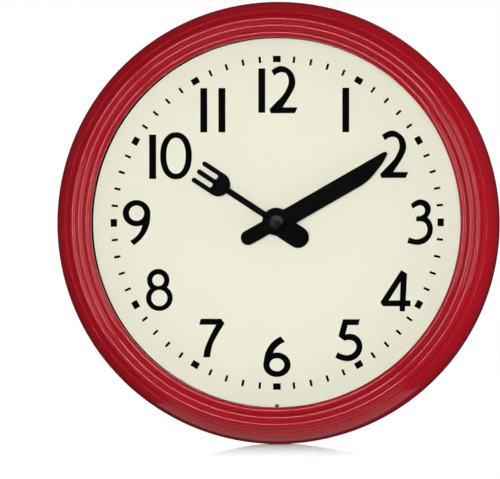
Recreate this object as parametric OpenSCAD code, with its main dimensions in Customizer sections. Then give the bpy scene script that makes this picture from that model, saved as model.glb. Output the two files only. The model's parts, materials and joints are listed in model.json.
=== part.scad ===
// Round wall clock: a spun metal case with a beaded front, a flat glass, a
// printed dial, a fork hour hand, a knife minute hand, and a battery quartz
// movement that hangs on a wall nail by its steel bracket.
//
// Each module is drawn as on a bench: x to the right, y up, z away from the
// wall, with the dial's axis along z and the wall at z = 0. hung() turns it
// to face -Y with +Z up, and puts the origin where the nail bears.

/* [Case] */
// Outer diameter of the case
case_d = 241.3; // [200:0.1:290]
// Radial width of the moulded front, outer edge to glass opening
moulding_w = 20.2; // [17:0.1:26]
// Sheet thickness of the case
case_wall = 1.4; // [1:0.1:2]
// Radial widths of the three beads, inner to outer
bead_w = [3.7, 4.1, 3.9]; // [3:0.1:5]
// Height that each bead stands above its feet
bead_rise = 1.15; // [0.5:0.05:1.5]
// Heights of the bead feet above the lip's rear face, inner to outer
foot_h = [1, 2.3, 3.5, 3.3]; // [1:0.1:5]
// Radial width of the cove outside the beads
cove_w = 2.3; // [1.5:0.1:4]
// Radial width of the raised line between cove and outer band
line_w = 0.5; // [0.3:0.05:1]
// Depth over which the outer band curves back to the side wall
band_h = 15.5; // [10:0.5:22]
// Number of fixing lugs inside the case
lug_n = 6; // [3:1:12]
// Width of a lug
lug_w = 12; // [8:0.5:16]
// Height of a lug
lug_h = 6; // [5:0.5:10]
// Inset of the lug screws from the case's outer edge
lug_inset = 6.2; // [6:0.1:9]

/* [Glass and spacer] */
// Thickness of the glass
glass_t = 2; // [1.5:0.1:3]
// Width of glass held behind the lip
glass_lap = 3.5; // [2:0.1:5]
// Height of the space between dial and glass
air_h = 9; // [7.5:0.1:14]
// Setback of the spacer ring behind the lip
spacer_setback = 0.1; // [0.05:0.05:1]
// Thickness of the skirt that centres the glass
skirt_t = 0.7; // [0.5:0.1:1]

/* [Dial] */
// Thickness of the dial
dial_t = 0.8; // [0.5:0.1:1.5]
// Thickness of the printed ink
ink_t = 0.06; // [0.04:0.01:0.1]
// Inset of the minute track's inner edge from the glass opening
track_inset = 12.95; // [10:0.05:16]
// Width and radial length of an hour mark
hour_mark = [4.2, 3.5]; // [2:0.1:6]
// Width and radial length of a minute mark
minute_mark = [1.3, 3.5]; // [0.6:0.1:5]
// Radius of the locating notch at the dial's foot
notch_r = 1.1; // [0.8:0.1:2]
// Thickness of the steel plate behind the dial
plate_t = 1.2; // [0.8:0.1:2]

/* [Hands] */
// Angle of the hour hand, clockwise from 12
hour_shown = 303.25; // [0:0.25:360]
// Angle of the minute hand, clockwise from 12
minute_shown = 60.25; // [0:0.25:360]
// Thickness of both hands
hand_t = 0.5; // [0.4:0.1:0.8]
// Reach of the hour hand's tines
hour_len = 51.7; // [40:0.1:60]
// Reach of the hour hand's tail
hour_tail = 20.2; // [14:0.1:24]
// Width of the hour hand's tail
hour_tail_w = 11.9; // [8:0.1:14]
// Width of the hour hand's stem
stem_w = 3.45; // [2.5:0.05:5]
// Radius of the hour hand's boss
boss_r = 7.6; // [6.5:0.1:10]
// Width of the fork's head
fork_w = 13.2; // [10:0.1:16]
// Width of one tine
tine_w = 2.65; // [2:0.05:3]
// Length of the slots between the tines
slot_len = 11.3; // [8:0.1:14]
// Reach of the minute hand's tip
minute_len = 71.1; // [60:0.1:78]
// Reach of the minute hand's tail
minute_tail = 21.4; // [16:0.1:26]
// Width of the minute hand's tail
minute_tail_w = 8.15; // [6:0.05:10]
// Height of the knife's straight back above the hand's axis
blade_back = 4.1; // [3:0.1:6]
// Depth of the knife's edge below the hand's axis
blade_edge = 5.75; // [4:0.05:8]
// Height of the hour hand above the dial
hour_lift = 3.2; // [2.8:0.1:4]
// Gap between the two hands
hand_gap = 1.7; // [1.2:0.1:2.5]
// Outer radius of the two collets
collet_r = 3.9; // [3.2:0.1:5]

/* [Movement] */
// Width and height of the movement
move_w = 56; // [54:0.5:62]
// Depth of the movement
move_d = 16; // [16:0.1:20]
// Gap between the movement and the wall
wall_gap = 2.2; // [2:0.1:6]
// Wall thickness of the movement's shell
shell_t = 1; // [0.8:0.1:1.2]
// Thickness of the shell's front
front_t = 1.2; // [1:0.1:1.6]
// Outer radius of the threaded bush
bush_r = 3.9; // [3.8:0.05:5]
// Outer radius of the hour pipe
hour_pipe_r = 2.5; // [2.4:0.05:2.8]
// Outer radius of the minute pipe
minute_pipe_r = 1.6; // [1.4:0.05:1.7]
// Radius of the seconds arbor
arbor_r = 0.5; // [0.4:0.05:0.6]
// Radius of the small pivots
pivot_r = 0.3; // [0.2:0.05:0.4]
// Radius of the setting knob
knob_r = 5; // [4:0.5:6]
// Number of flutes on the setting knob
knob_flutes = 20; // [12:1:30]

/* [Gears] */
// Teeth of the rotor's pinion and of the wheel that it drives
rotor_teeth = [12, 60]; // [6:1:80]
// Teeth of the intermediate pinion and the seconds wheel
seconds_teeth = [10, 60]; // [6:1:80]
// Teeth of the seconds pinion and the third wheel
third_teeth = [8, 64]; // [6:1:80]
// Teeth of the third pinion and the centre wheel
centre_teeth = [8, 60]; // [6:1:80]
// Teeth of the cannon pinion and the minute wheel
motion_teeth = [12, 36]; // [6:1:80]
// Teeth of the minute pinion and the hour wheel
hour_teeth = [10, 40]; // [6:1:80]
// Teeth of the setting pinion
setting_teeth = 12; // [10:1:14]
// Gear modules: rotor, seconds, third, centre, motion and hour pairs
rotor_m = 0.22; // [0.2:0.01:0.23]
seconds_m = 0.28; // [0.26:0.01:0.3]
third_m = 0.34; // [0.32:0.01:0.34]
motion_m = 0.5; // [0.48:0.01:0.5]
// Directions of the arbors round the dial's axis, and of rotor and knob
inter_dir = 160; // [150:1:170]
rotor_dir = 170; // [160:1:180]
third_dir = 60; // [50:1:70]
minute_dir = 5; // [0:1:10]
knob_dir = 45; // [40:1:50]

/* [Battery] */
// Diameter of the cell
cell_d = 14.5; // [12:0.1:14.5]
// Length of the cell with its cap
cell_len = 50.5; // [49:0.1:51]
// Radius and length of the cell's positive cap
cap_size = [2.75, 1.3]; // [1:0.05:3]

/* [Hanger] */
// Thickness of the hanger's steel
hanger_t = 1; // [0.8:0.1:1.5]
// Width of the hanger's plate round the bush
hanger_w = 40; // [30:1:50]
// Width of the tab that meets the nail
tab_w = 24; // [20:1:30]
// Half width of the keyhole's slot
slot_r = 2.2; // [2.1:0.1:2.5]
// Radius of the keyhole's entry
entry_r = 4.6; // [4.3:0.1:6]
// Rise of the slot's end above the entry
slot_rise = 6; // [5:0.5:10]
// Thickness of the rubber washer
rubber_t = 0.8; // [0.5:0.1:1.5]

/* [Fits] */
// Radial running clearance of pipes and pivots
run_gap = 0.06; // [0.04:0.01:0.08]
// Radial clearance of pressed parts
press_gap = 0.01; // [0.01:0.01:0.03]
// Clearance of parts that drop together
loose_gap = 0.15; // [0.1:0.05:0.3]

/* [Hidden] */
$fn = 96;
eps = 0.01;

// Heights of the stack, from the wall to the glass
move_z = wall_gap;
front_z = move_z + move_d;
rubber_z = front_z + hanger_t;
plate_z = rubber_z + rubber_t;
dial_z = plate_z + plate_t;
face_z = dial_z + dial_t;
glass_z = face_z + air_h;
lip_z = glass_z + glass_t;

// Radii of the case
case_r = case_d / 2;
lip_r = case_r - moulding_w;
glass_r = lip_r + glass_lap;
spacer_r = glass_r + loose_gap + skirt_t;
inner_r = case_r - case_wall;
plate_r = inner_r - 5 * loose_gap;
screw_at = case_r - lug_inset;
screw_r = 1.45;
screw_head_r = 2.8;
screw_head_h = 1.6;
screw_slot_w = 0.6;
// Reach of a lug inwards from its screw
lug_in = 4;

// Hanger heights above the dial's axis
web_y = move_w / 2 + 2;
entry_y = web_y + hanger_t + entry_r + 1;
hook_rise = entry_y + slot_rise;
tab_top = hook_rise + slot_r + 4;
tab_z = 1;

// Artwork was drawn for a track of this radius, and grows with the dial
art_track = 87.5;
track_r = lip_r - track_inset;
art_k = track_r / art_track;

// Hand stack
hour_z = face_z + hour_lift;
minute_z = hour_z + hand_t + hand_gap;
collet_h = 1.5;
collet_cap_t = 0.2;
// Front end of the seconds arbor, under the minute collet's cap
arbor_top = minute_z + hand_t + 0.9;
collet_lip = 0.4;
hour_sleeve_r = hour_pipe_r + 0.6;
minute_sleeve_r = minute_pipe_r + 0.8;

// Inside of the movement
floor_z = move_z + shell_t;
ceiling_z = front_z - front_t;
inner_w = move_w - 2 * shell_t;
bay_y = -inner_w / 2 + cell_d + 2 * loose_gap;
bay_wall = 0.8;
cell_y = -inner_w / 2 + loose_gap + cell_d / 2;
cell_z = ceiling_z - loose_gap - cell_d / 2;
contact_t = 0.4;
contact_gap = 0.3;
cell_x = inner_w / 2 - contact_gap - contact_t - loose_gap - cell_len;

// Gear train: centre distances, places and tooth angles
function at(d, a) = d * [cos(a), sin(a)];
function apart(teeth, m) = (teeth[0] + teeth[1]) / 2 * m;
seconds_gap = apart(seconds_teeth, seconds_m);
rotor_gap = apart(rotor_teeth, rotor_m);
third_gap = apart(third_teeth, third_m);
centre_m = 2 * third_gap / (centre_teeth[0] + centre_teeth[1]);
motion_gap = apart(motion_teeth, motion_m);
hour_m = 2 * motion_gap / (hour_teeth[0] + hour_teeth[1]);
setting_gap = apart([setting_teeth, motion_teeth[1]], motion_m);
inter_at = at(seconds_gap, inter_dir);
rotor_at = inter_at + at(rotor_gap, rotor_dir);
third_at = at(third_gap, third_dir);
minute_at = at(motion_gap, minute_dir);
knob_at = minute_at + at(setting_gap, knob_dir);
// Tooth angle of gear B, in direction dir from gear A, for the two to mesh
function mesh(turn_a, teeth_a, dir, teeth_b) =
    dir + 180 - (180 - (dir - turn_a) * teeth_a) / teeth_b;
inter_turn = mesh(0, seconds_teeth[1], inter_dir, seconds_teeth[0]);
rotor_turn = mesh(0, rotor_teeth[1], rotor_dir, rotor_teeth[0]);
third_turn = mesh(0, third_teeth[0], third_dir, third_teeth[1]);
centre_turn = mesh(0, centre_teeth[0], third_dir + 180, centre_teeth[1]);
minute_turn = mesh(0, motion_teeth[0], minute_dir, motion_teeth[1]);
hour_turn = mesh(0, hour_teeth[0], minute_dir + 180, hour_teeth[1]);
knob_turn = mesh(minute_turn, motion_teeth[1], knob_dir, setting_teeth);

// Levels of the train, from the wall forwards: lower and upper face
rotor_pinion_z = [floor_z + 2, floor_z + 3.2];
inter_wheel_z = [floor_z + 2.3, floor_z + 2.9];
inter_pinion_z = [floor_z + 2.9, floor_z + 4.8];
magnet_z = [floor_z + 3.6, floor_z + 6.1];
seconds_wheel_z = [floor_z + 3.8, floor_z + 4.5];
stator_z = [floor_z + 4.4, floor_z + 5.2];
seconds_pinion_z = [floor_z + 4.5, floor_z + 6.9];
third_wheel_z = [floor_z + 5.7, floor_z + 6.5];
bridge_z = [floor_z + 7.1, floor_z + 7.6];
third_pinion_z = [floor_z + 7.8, floor_z + 9.2];
centre_wheel_z = [floor_z + 8.1, floor_z + 8.9];
cannon_z = [floor_z + 9.7, floor_z + 11.4];
minute_wheel_z = [floor_z + 9.8, floor_z + 11];
minute_pinion_z = [floor_z + 11, floor_z + 13.2];
hour_wheel_z = [floor_z + 12, floor_z + 13.1];
knob_pinion_z = [floor_z + 9.7, floor_z + 11.2];
knob_stem_r = 1.2;
stud_r = 0.8;
board_z = floor_z + 1.2;
board_t = 1;
board_top = board_z + board_t;
board_at = [3.5, 14.5];
board_size = [22, 12];
coil_at = [-13.5, 20.5];
coil_len = 18;
coil_r = 3.7;
coil_end = 0.4;
tube_r = 1.9;
flange_t = 0.8;
core_w = 2;

// ---------- plane curves ----------

// Points on a circular arc
function arc(c, r, a0, a1, n = 12) = [for (i = [0:n]) c + at(r, a0 + (a1 - a0) * i / n)];
// Arc from p to q that stands s to the left of the chord, or -s to the right
function bow(p, q, s, n = 8) =
    let (d = q - p, l = norm(d), side = sign(s) * [-d[1], d[0]] / l,
        r = (l * l / 4 + s * s) / (2 * abs(s)), c = (p + q) / 2 - (r - abs(s)) * side,
        mid = atan2(side[1], side[0]), half = asin(l / 2 / r))
    [for (i = [0:n]) c + at(r, mid + sign(s) * half * (1 - 2 * i / n))];
// Smooth curve through hand-set points, n steps between neighbours
function smooth(p, n = 4) = let (e = len(p) - 1) concat([p[0]], [for (i = [0:e - 1], k = [1:n])
    let (t = k / n, a = p[max(i - 1, 0)], b = p[i], c = p[i + 1], d = p[min(i + 2, e)])
    0.5 * (2 * b + (c - a) * t + (2 * a - 5 * b + 4 * c - d) * t * t
        + (3 * b - a - 3 * c + d) * t * t * t)]);
// Oval with radii r; a power under 1 makes it fuller at the corners
function full(v, power) = sign(v) * pow(abs(v), power);
function oval(c, r, power = 1, n = 36) = [for (i = [0:n - 1])
    c + [r[0] * full(cos(i * 360 / n), power), r[1] * full(sin(i * 360 / n), power)]];
// Rounded rectangle from its centre
function round_rect(w, h, r) = concat(
    arc([w / 2 - r, h / 2 - r], r, 0, 90, 6), arc([r - w / 2, h / 2 - r], r, 90, 180, 6),
    arc([r - w / 2, r - h / 2], r, 180, 270, 6), arc([w / 2 - r, r - h / 2], r, 270, 360, 6));
// Toothed outline with slim, flat-sided teeth, the first tooth at angle turn
function teeth_of(n, m, turn) = [for (i = [0:n - 1], k = [[-1, -1], [-1, 1], [1, 1], [1, -1]])
    at(n * m / 2 + (k[1] > 0 ? 0.75 : -1.15) * m, turn + (i + k[0] * (k[1] > 0 ? 0.11 : 0.27)) * 360 / n)];

// ---------- solid helpers ----------

module slab(z, points) { translate([0, 0, z[0]]) linear_extrude(z[1] - z[0]) polygon(points); }
module rod(z, r) { translate([0, 0, z[0]]) cylinder(r = r, h = z[1] - z[0]); }
module gear(z, n, m, turn) { slab(z, teeth_of(n, m, turn)); }
// A hole through the level z, a little longer at both ends
module hole(z, r) { rod([z[0] - 1, z[1] + 1], r); }
module move_to(p) { translate([p[0], p[1], 0]) children(); }
module box(low, high) { translate(low) cube(high - low); }

// ---------- case ----------

function sum_to(v, n) = n > 0 ? v[n - 1] + sum_to(v, n - 1) : 0;
foot_r = [for (i = [0:3]) lip_r + sum_to(bead_w, i)];
cove_sink = 0.55;
line_rise = 0.2;
// Stock left behind the glass opening and behind the beads
lip_stock = 1.2;
bead_stock = 1.9;
function foot(i) = [foot_r[i], lip_z + foot_h[i]];
line_r = foot_r[3] + cove_w;
line_z = lip_z;
band_r = line_r + line_w;
// The outer band is an arc that meets the side wall without a corner
band_turn = 2 * atan((case_r - band_r) / band_h);
band_arc_r = band_h / sin(band_turn);
band_c = [case_r - band_arc_r, line_z - band_h];
front_line = concat(bow(foot(0), foot(1), bead_rise), bow(foot(1), foot(2), bead_rise),
    bow(foot(2), foot(3), bead_rise), bow(foot(3), [line_r, line_z], -cove_sink, 6),
    bow([line_r, line_z], [band_r, line_z], line_rise, 4),
    arc(band_c, band_arc_r, band_turn, 0, 12));

module case_profile() {
    polygon(concat([[lip_r, lip_z]], front_line, [[case_r, 0], [inner_r, 0]],
        arc(band_c, band_arc_r - case_wall, 0, band_turn, 12),
        [[foot_r[3] - 1, lip_z + bead_stock], [spacer_r + 0.5, lip_z + lip_stock],
            [spacer_r + 2 * loose_gap, lip_z]]));
}

// Copies of what is drawn along x, one for each lug
module each_lug() {
    for (i = [0:lug_n - 1])
        rotate(90 + (i + 0.5) * 360 / lug_n) children();
}
module at_screws() { each_lug() translate([screw_at, 0, 0]) children(); }

module lugs() {
    mid_wall = concat([[0, lip_z]], arc(band_c, band_arc_r - case_wall / 2, band_turn, 0, 12),
        [[case_r - case_wall / 2, 0], [0, 0]]);
    intersection() {
        rotate_extrude() polygon(mid_wall);
        each_lug() box([screw_at - lug_in, -lug_w / 2, dial_z], [case_r, lug_w / 2, dial_z + lug_h]);
    }
}

module frame() {
    color([0.65, 0.08, 0.13]) difference() {
        union() {
            rotate_extrude() case_profile();
            lugs();
        }
        at_screws() rod([dial_z - 1, dial_z + lug_h - 1], screw_r + run_gap);
    }
}

module lens() {
    color([0.8, 0.88, 0.9, 0.3]) rod([glass_z, lip_z], glass_r);
}

module spacer_ring() {
    wall_r = lip_r + spacer_setback;
    skirt_z = lip_z - loose_gap;
    color([0.05, 0.05, 0.05]) rotate_extrude() polygon([[wall_r, face_z], [spacer_r, face_z],
        [spacer_r, skirt_z], [spacer_r - skirt_t, skirt_z], [spacer_r - skirt_t, glass_z],
        [wall_r, glass_z]]);
}

module back_plate() {
    z = [plate_z, dial_z];
    color([0.1, 0.1, 0.1]) difference() {
        rod(z, plate_r);
        hole(z, bush_r + loose_gap);
        at_screws() hole(z, screw_r + loose_gap);
    }
}

module back_screws() {
    head_z = [plate_z - screw_head_h, plate_z];
    slot = [1.7, screw_slot_w / 2];
    color([0.7, 0.7, 0.7]) at_screws() difference() {
        union() {
            rod([plate_z - 0.5, dial_z + lug_h - 2], screw_r);
            rod(head_z, screw_head_r);
        }
        for (a = [0, 90])
            rotate(a) box(concat(-slot, head_z[0] - 1), concat(slot, plate_z - 0.7));
    }
}

// ---------- dial and print ----------

module dial() {
    z = [dial_z, face_z];
    color([0.93, 0.93, 0.85]) difference() {
        rod(z, spacer_r);
        hole(z, bush_r + loose_gap);
        translate([0, -(lip_r - 0.5), 0]) hole(z, notch_r);
    }
}

// Outlines of the figures, each about its own datum on the dial
one = [[-1.9, -12.1], [1.9, -12.1], [1.9, 12.1], [-1.9, 12.1]];
two = concat([[-7, 0], [6.25, 0], [7.75, 3.2], [-0.5, 3.2]],
    smooth([[-0.2, 3.6], [3.5, 9.3], [6, 14], [6.5, 17.6], [5.5, 21.3], [3.5, 23.8], [1, 25.3],
        [-1.5, 25.8], [-4.2, 25], [-6.65, 23.4]]),
    smooth([[-5.15, 20.5], [-3, 21.9], [-1, 22.4], [1, 21.9], [2.25, 20.4], [2.85, 17.6],
        [2.25, 14.6], [0, 10.3], [-4, 6], [-7.75, 2.2]]));
three = concat([[-3.1, 0.6], [-3.1, 3.2]],
    smooth([[-1, 3.4], [1, 4.5], [1.65, 6], [1.5, 7.5], [0.5, 8.8], [-1, 9.2], [-3, 8.6], [-5, 7.4]]),
    smooth([[-6, 10], [-3.2, 11.9], [-0.25, 12.5], [3, 11.2], [4.75, 8.6], [4.9, 6.6],
        [4.3, 4.5], [3, 2.7]]),
    smooth([[4.5, 1.25], [5.75, -1.4], [6, -4], [5.5, -6.6], [4, -9.2], [1.5, -11.3],
        [-2.5, -12.3], [-8, -11.25]]),
    smooth([[-7, -8.1], [-3.5, -9.2], [-1, -8.9], [1.5, -7.5], [2.75, -5.6], [3, -3.5], [2.5, -1.5],
        [1.25, 0], [-0.5, 0.5], [-3.1, 0.6]], 3));
four = [[3.15, 22.5], [6.4, 20.5], [5.6, 6], [8.25, 6], [8.25, 2.8], [5.3, 2.8], [5.2, 0], [2.3, 0],
    [2.3, 2.8], [-6.85, 2.8], [-8.25, 5]];
four_hole = [[2.8, 16.1], [-3.6, 6], [2.4, 6]];
five = concat([[-3.5, 22.85], [5.75, 22.85], [5, 19.65], [-0.85, 19.65], [-2.15, 14.6]],
    smooth([[0, 15], [2.5, 14.6], [4.75, 13.3], [6.5, 11], [7.1, 8], [6.5, 5], [4.5, 2.1],
        [1.5, 0.4], [-1.5, 0], [-5, 0.7], [-7.75, 2]]),
    smooth([[-6.4, 5], [-4, 3.8], [-1.2, 3.3], [1.5, 4.2], [3.25, 6], [3.85, 8], [3.25, 10],
        [1.5, 11.3], [-0.5, 11.6], [-2.75, 11.15]]), [[-6, 13.6]]);
six_stem = concat(smooth([[-7.5, 0], [-6.4, 6], [-4.5, 9.9], [-2, 12.9], [2, 15.5]]),
    smooth([[4.5, 12.55], [1.5, 10.9], [-1, 8.4], [-2.5, 5.65]]), [[0, 4]]);
seven = concat([[-6.15, 21], [5.1, 21], [6.9, 18.5]], smooth([[4, 13.9], [1.5, 9.4], [0, 5.8], [-1, 0]]),
    smooth([[-4.75, 0], [-4, 4.4], [-2.5, 8.4], [0, 13.6], [2.25, 17.75]]), [[-7, 17.75]]);
nine_tail = concat(smooth([[7.6, 0], [7.2, -5.5], [5.2, -10.5], [2.2, -14.5], [-1.4, -17.6]]),
    smooth([[-3.55, -15.15], [-0.3, -12.75], [1.95, -10], [3.1, -6.75]]), [[0, -5]]);

ink_z = [face_z, face_z + ink_t];
cut_z = [face_z - 1, face_z + 1];
module ink(p, at) { translate(concat(at * art_k, 0)) slab(ink_z, p * art_k); }
module ink_zero(at) {
    translate(concat(at * art_k, 0)) difference() {
        slab(ink_z, oval([0, 0], [8.7, 12.9], 0.92) * art_k);
        slab(cut_z, oval([0, 0], [5.3, 9.8], 0.92) * art_k);
    }
}
module ink_four(at) {
    translate(concat(at * art_k, 0)) difference() {
        slab(ink_z, four * art_k);
        slab(cut_z, four_hole * art_k);
    }
}
module ink_bowl(at, stem, bowl_r, hole_r) {
    translate(concat(at * art_k, 0)) difference() {
        union() {
            slab(ink_z, oval([0, 0], bowl_r) * art_k);
            slab(ink_z, stem * art_k);
        }
        slab(cut_z, oval([0, 0], hole_r) * art_k);
    }
}
module ink_eight(at) {
    top = [-0.3, 5.2];
    foot = [0.3, -4.5];
    translate(concat(at * art_k, 0)) difference() {
        union() {
            slab(ink_z, oval(top, [6.2, 6.2]) * art_k);
            slab(ink_z, oval(foot, [7.35, 7.1]) * art_k);
        }
        slab(cut_z, oval(top, [3.2, 3.2]) * art_k);
        slab(cut_z, oval(foot, [4.4, 4.4]) * art_k);
    }
}

module dial_print() {
    color([0.04, 0.04, 0.04]) {
        ink(one, [-8.25, 72]);
        ink(two, [3.6, 59.6]);
        ink(one, [37.6, 61.3]);
        ink(two, [64, 24.2]);
        ink(three, [79, 0]);
        ink_four([64.6, -48.4]);
        ink(five, [39.5, -75.5]);
        ink_bowl([0, -77.4], six_stem, [7.5, 6.7], [4, 3.5]);
        ink(seven, [-35.5, -73.35]);
        ink_eight([-64.6, -36.5]);
        ink_bowl([-76.8, 5.3], nine_tail, [7.6, 7.2], [4.15, 4.15]);
        ink(one, [-68, 36.1]);
        ink_zero([-55.2, 36.6]);
        for (x = [-40, -30.05]) ink(one, [x, 61.4]);
        for (i = [0:59]) rotate(-i * 6) {
            s = i % 5 == 0 ? hour_mark : minute_mark;
            box([-s[0] / 2, track_r, ink_z[0]], [s[0] / 2, track_r + s[1], ink_z[1]]);
        }
    }
}

// ---------- hanging and fixing ----------

module hanger_bracket() {
    plate = [front_z, rubber_z];
    tab = [tab_z, tab_z + hanger_t];
    color([0.72, 0.72, 0.74]) difference() {
        union() {
            box([-hanger_w / 2, -16, plate[0]], [hanger_w / 2, web_y, plate[1]]);
            box([-tab_w / 2, web_y - eps, tab[0]], [tab_w / 2, web_y + hanger_t, plate[1]]);
            box([-tab_w / 2, web_y, tab[0]], [tab_w / 2, tab_top, tab[1]]);
        }
        hole(plate, bush_r + loose_gap);
        translate([0, entry_y, 0]) hole(tab, entry_r);
        translate([0, hook_rise, 0]) hole(tab, slot_r);
        box([-slot_r, entry_y, tab[0] - 1], [slot_r, hook_rise, tab[1] + 1]);
    }
}

module washer(z, r, bore_r, tint) {
    color(tint) difference() {
        rod(z, r);
        hole(z, bore_r);
    }
}

nut_z = face_z + 0.5;
nut_h = 1.8;
nut_r = bush_r + 2.3;
washer_r = bush_r + 2.5;
rubber_r = bush_r + 10.1;
module rubber_washer() {
    washer([rubber_z, plate_z], rubber_r, bush_r + loose_gap, [0.12, 0.12, 0.12]);
}
module fixing_washer() {
    washer([face_z, nut_z], washer_r, bush_r + loose_gap, [0.8, 0.66, 0.3]);
}
module fixing_nut() {
    z = [nut_z, nut_z + nut_h];
    color([0.8, 0.66, 0.3]) difference() {
        slab(z, [for (i = [0:5]) at(nut_r, i * 60)]);
        hole(z, bush_r + press_gap);
    }
}
module centre_bush() {
    color([0.8, 0.66, 0.3]) difference() {
        union() {
            rod([ceiling_z - 0.4, ceiling_z], bush_r + 1.6);
            rod([ceiling_z - 0.2, nut_z + nut_h + 0.3], bush_r);
        }
        hole([ceiling_z - 0.4, nut_z + nut_h + 0.3], hour_pipe_r + run_gap);
    }
}

// ---------- movement shells ----------

post_at = [[25, -8.4], [25, 13.2], [-24.6, -8.4], [-24.6, 12.8]];
pivot_at = [rotor_at, inter_at, [0, 0], third_at];

module movement_case() {
    z = [floor_z, front_z];
    color([0.08, 0.08, 0.08]) union() {
        difference() {
            slab(z, round_rect(move_w, move_w, 2));
            slab([floor_z - 1, ceiling_z], round_rect(inner_w, inner_w, 1));
            hole([ceiling_z, front_z], bush_r + press_gap);
        }
        // Wall between the battery bay and the train
        box([-inner_w / 2 + 1.2, bay_y, floor_z], [inner_w / 2 - 1.2, bay_y + bay_wall, ceiling_z + eps]);
        for (p = post_at) move_to(p) rod([bridge_z[1], ceiling_z + eps], 1.4);
        // Stud of the minute wheel and socket of the third wheel's pivot
        move_to(minute_at) rod([centre_wheel_z[1] + 0.5, ceiling_z + eps], stud_r);
        move_to(third_at) difference() {
            rod([third_pinion_z[1] + 0.3, ceiling_z + eps], 1.3);
            rod([third_pinion_z[1] - 1, third_pinion_z[1] + 1.8], pivot_r + run_gap);
        }
    }
}

module movement_cover() {
    z = [move_z, floor_z];
    boss_z = [floor_z - eps, floor_z + 1.5];
    color([0.08, 0.08, 0.08]) difference() {
        union() {
            intersection() {
                slab(z, round_rect(move_w, move_w, 2));
                box([-move_w, bay_y, z[0]], [move_w, move_w, z[1]]);
            }
            for (p = pivot_at) move_to(p) rod(boss_z, 1.4);
            for (p = [post_at[1], [-10.5, 12.6]]) move_to(p) rod([floor_z - eps, bridge_z[0]], 1.1);
        }
        for (p = pivot_at) move_to(p) rod([floor_z - 0.6, floor_z + 3], pivot_r + run_gap);
        move_to(knob_at) hole(z, knob_stem_r + loose_gap);
    }
}

module bridge_plate() {
    color([0.85, 0.85, 0.82]) difference() {
        box([-26.4, bay_y + bay_wall + loose_gap, bridge_z[0]], [26.4, 14.6, bridge_z[1]]);
        for (p = [rotor_at, inter_at]) move_to(p) hole(bridge_z, pivot_r + run_gap);
        hole(bridge_z, 2);
        move_to(third_at) hole(bridge_z, 2.2);
        move_to(knob_at) hole(bridge_z, 1.6);
    }
}

// ---------- motor and board ----------

module stator_core() {
    left = [coil_at[0] - coil_len / 2 - 3, coil_at[0] - coil_len / 2];
    right = [coil_at[0] + coil_len / 2, coil_at[0] + coil_len / 2 + 3];
    under = coil_at[1] - coil_r - 2;
    core_y = [coil_at[1] - core_w / 2, coil_at[1] + core_w / 2];
    color([0.6, 0.6, 0.62]) difference() {
        union() {
            move_to(rotor_at) rod(stator_z, 4.6);
            // Bar through the coil, and the legs that carry its field to the rotor
            box([left[0], core_y[0], stator_z[0]], [right[1], core_y[1], stator_z[1]]);
            box([left[0], rotor_at[1], stator_z[0]], [left[1], core_y[1], stator_z[1]]);
            box([left[0], rotor_at[1], stator_z[0]], [rotor_at[0] - 3.5, under, stator_z[1]]);
            box([right[0], under - 2, stator_z[0]], [right[1], core_y[1], stator_z[1]]);
            slab(stator_z, [rotor_at + [2, 3.9], rotor_at + [4.2, 1.6], [right[1], under - 2],
                [right[1], under], [right[0], under]]);
        }
        move_to(rotor_at) hole(stator_z, 3);
    }
}

module along_coil() {
    translate(concat(coil_at, (stator_z[0] + stator_z[1]) / 2)) rotate([0, 90, 0]) children();
}
module core_slot() {
    core = [stator_z[1] - stator_z[0], core_w] + 2 * [press_gap, press_gap];
    cube(concat(core, coil_len + 1), center = true);
}

module coil_bobbin() {
    half = coil_len / 2 - coil_end;
    color([0.9, 0.9, 0.86]) along_coil() difference() {
        union() {
            rod([-half, half], tube_r);
            rod([-half, -half + flange_t], coil_r + 0.3);
            rod([half - flange_t, half], coil_r + 0.3);
        }
        core_slot();
    }
}

module coil_winding() {
    half = coil_len / 2 - coil_end - flange_t - press_gap;
    color([0.7, 0.35, 0.15]) along_coil() difference() {
        rod([-half, half], coil_r);
        hole([-half, half], tube_r + press_gap);
    }
}

module circuit_board() {
    color([0.1, 0.35, 0.2])
        box(concat(board_at, board_z), concat(board_at + board_size, board_top));
}
module timing_chip() {
    dome = concat([[0, 0]], bow([2.6, 0], [0, 1.1], -0.35, 8));
    color([0.05, 0.05, 0.05])
        translate(concat(board_at + [7, 7.5], board_top)) rotate_extrude() polygon(dome);
}
module quartz_crystal() {
    can_r = 1;
    color([0.75, 0.75, 0.77])
        translate(concat(board_at + [12, 4], board_top + can_r + 0.05))
            rotate([0, 90, 0]) rod([0, 6], can_r);
}

// ---------- train ----------

module train(at, tint) { color(tint) move_to(at) children(); }
gear_tint = [0.92, 0.92, 0.88];

module rotor_magnet() {
    train(rotor_at, [0.35, 0.35, 0.37]) difference() {
        rod(magnet_z, 2.6);
        hole(magnet_z, arbor_r + press_gap);
    }
}
module rotor_pinion() {
    train(rotor_at, gear_tint) union() {
        gear(rotor_pinion_z, rotor_teeth[0], rotor_m, rotor_turn);
        rod([floor_z + 1.6, bridge_z[0] - 0.2], arbor_r);
        rod([floor_z - 0.4, bridge_z[1]], pivot_r);
    }
}
module intermediate_wheel() {
    train(inter_at, gear_tint) union() {
        gear(inter_wheel_z, rotor_teeth[1], rotor_m, 0);
        gear(inter_pinion_z, seconds_teeth[0], seconds_m, inter_turn);
        rod([floor_z + 1.6, bridge_z[0] - 0.2], arbor_r);
        rod([floor_z - 0.4, bridge_z[1]], pivot_r);
    }
}
module seconds_wheel() {
    train([0, 0], gear_tint) union() {
        gear(seconds_wheel_z, seconds_teeth[1], seconds_m, 0);
        gear(seconds_pinion_z, third_teeth[0], third_m, 0);
        rod([floor_z + 1.6, arbor_top], arbor_r);
        rod([floor_z - 0.4, floor_z + 2], pivot_r);
    }
}
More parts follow.
